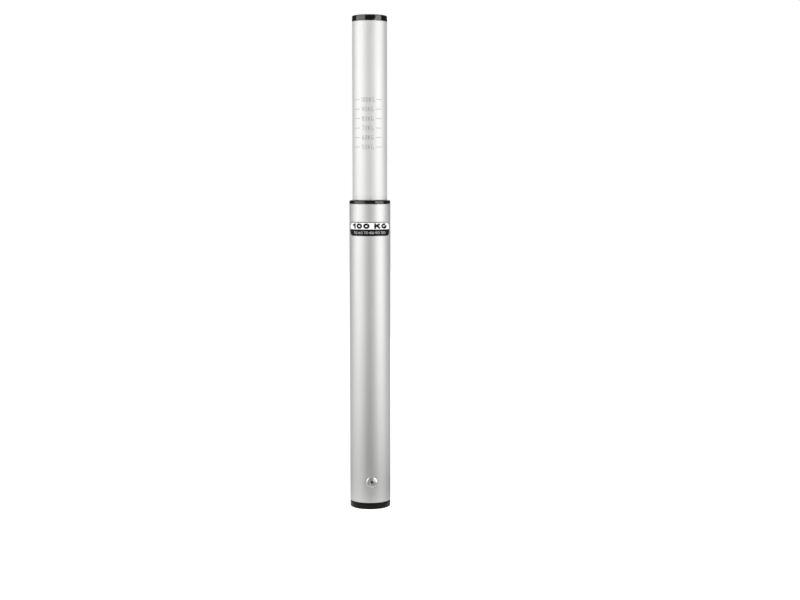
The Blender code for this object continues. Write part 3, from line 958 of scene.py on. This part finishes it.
def make_floor():
    """A white floor, with an even glow for the camera. Reflections see a painted glow on it in place of its
    lit surface: dim, paler to the sides and palest round the foot.
    """
    finish = material("floor_white_painted_reflection", (0.9, 0.9, 0.9), 0.8)
    tree = finish.node_tree
    white = tree.nodes["Principled BSDF"]
    white.inputs["Specular IOR Level"].default_value = 0
    white.inputs["Emission Color"].default_value = (1, 1, 1, 1)
    seen = tree.nodes.new("ShaderNodeLightPath")
    glow = tree.nodes.new("ShaderNodeMath")
    glow.operation = "MULTIPLY"
    glow.inputs[1].default_value = 0.9
    tree.links.new(seen.outputs["Is Camera Ray"], glow.inputs[0])
    tree.links.new(glow.outputs["Value"], white.inputs["Emission Strength"])
    place = tree.nodes.new("ShaderNodeNewGeometry")
    parts = tree.nodes.new("ShaderNodeSeparateXYZ")
    tree.links.new(place.outputs["Position"], parts.inputs["Vector"])
    sideways = tree.nodes.new("ShaderNodeMath")
    sideways.operation = "ABSOLUTE"
    tree.links.new(parts.outputs["X"], sideways.inputs[0])
    widened = tree.nodes.new("ShaderNodeVectorMath")
    widened.operation = "MULTIPLY"
    widened.inputs[1].default_value = PAINTED_POOL_STRETCH
    tree.links.new(place.outputs["Position"], widened.inputs[0])
    away = tree.nodes.new("ShaderNodeVectorMath")
    away.operation = "DISTANCE"
    away.inputs[1].default_value = PAINTED_POOL_MIDDLE
    tree.links.new(widened.outputs["Vector"], away.inputs[0])
    # Painted reflection: an emission that only reflections see, palest in a painted pool round the foot and
    # paler to the sides.
    painted_sides = ranged(tree, sideways.outputs["Value"], *PAINTED_SIDE_LEVELS, **PAINTED_SIDE_REACH)
    painted_pool = ranged(tree, away.outputs["Value"], 1, 0, **PAINTED_POOL_REACH)
    level = tree.nodes.new("ShaderNodeMix")
    level.inputs["B"].default_value = PAINTED_POOL_LEVEL
    tree.links.new(painted_pool, level.inputs["Factor"])
    tree.links.new(painted_sides, level.inputs["A"])
    painted_reflection = tree.nodes.new("ShaderNodeEmission")
    tree.links.new(level.outputs["Result"], painted_reflection.inputs["Strength"])
    mix = tree.nodes.new("ShaderNodeMixShader")
    tree.links.new(seen.outputs["Is Glossy Ray"], mix.inputs["Fac"])
    tree.links.new(white.outputs["BSDF"], mix.inputs[1])
    tree.links.new(painted_reflection.outputs["Emission"], mix.inputs[2])
    tree.links.new(mix.outputs["Shader"], tree.nodes["Material Output"].inputs["Surface"])
    bm = bmesh.new()
    bmesh.ops.create_circle(bm, cap_ends=True, segments=96, radius=3)
    floor = new_object("floor", bm, finish)


def add_softbox(name, azimuth, bottom, top, width, radiance):
    """An upright area light that faces the gauge. Its azimuth is from the camera's side, to its right."""
    light = bpy.data.lights.new(name, "AREA")
    light.shape = "RECTANGLE"
    light.size = width
    light.size_y = top - bottom
    light.energy = radiance * math.pi * width * (top - bottom)
    obj = bpy.data.objects.new(name, light)
    bpy.context.scene.collection.objects.link(obj)
    angle = math.radians(azimuth)
    obj.location = on_tube(angle, SOFTBOX_DISTANCE, (bottom + top) / 2)
    obj.rotation_euler = facing(angle)
    obj.visible_camera = False


def make_world():
    """White to the camera. All else sees a dim room, lightest overhead and darkest behind the gauge."""
    world = bpy.data.worlds.new("studio")
    bpy.context.scene.world = world
    world.use_nodes = True
    tree = world.node_tree
    backdrop = tree.nodes["Background"]
    backdrop.inputs["Color"].default_value = (1, 1, 1, 1)
    room = tree.nodes.new("ShaderNodeBackground")
    place = tree.nodes.new("ShaderNodeTexCoord")
    parts = tree.nodes.new("ShaderNodeSeparateXYZ")
    tree.links.new(place.outputs["Generated"], parts.inputs["Vector"])
    behind = ranged(tree, parts.outputs["Y"], 0, 1, start=-1, end=1)
    level = blended(tree, behind, ROOM_FRONT, ROOM_BACK)
    above = ranged(tree, parts.outputs["Z"], 0, 1, **ROOM_TOP_REACH)
    mixed = tree.nodes.new("ShaderNodeMix")
    mixed.data_type = "RGBA"
    mixed.inputs["B"].default_value = (*ROOM_TOP, 1)
    tree.links.new(above, mixed.inputs["Factor"])
    tree.links.new(level, mixed.inputs["A"])
    tree.links.new(mixed.outputs["Result"], room.inputs["Color"])
    seen = tree.nodes.new("ShaderNodeLightPath")
    mix = tree.nodes.new("ShaderNodeMixShader")
    tree.links.new(seen.outputs["Is Camera Ray"], mix.inputs["Fac"])
    tree.links.new(room.outputs["Background"], mix.inputs[1])
    tree.links.new(backdrop.outputs["Background"], mix.inputs[2])
    tree.links.new(mix.outputs["Shader"], tree.nodes["World Output"].inputs["Surface"])


def make_camera():
    camera = bpy.data.cameras.new("camera")
    camera.lens = CAMERA_LENS
    obj = bpy.data.objects.new("camera", camera)
    bpy.context.scene.collection.objects.link(obj)
    obj.location = CAMERA_PLACE
    obj.rotation_euler = (math.pi / 2 - CAMERA_DOWN, 0, 0)
    bpy.context.scene.camera = obj


def write_sizes():
    bpy.context.view_layer.update()


make_outer_tube()
make_inner_tube()
make_foot()
make_top_cap()
make_collar()
for side, angle in RIVET_ANGLES.items():
    make_rivet(side, angle)
make_scale()
make_label()
make_spring()
dress_nodes()
make_floor()
make_world()
for name, setting in SOFTBOXES.items():
    add_softbox(name, *setting)
make_camera()
bpy.context.scene.view_settings.view_transform = "Standard"
write_sizes()
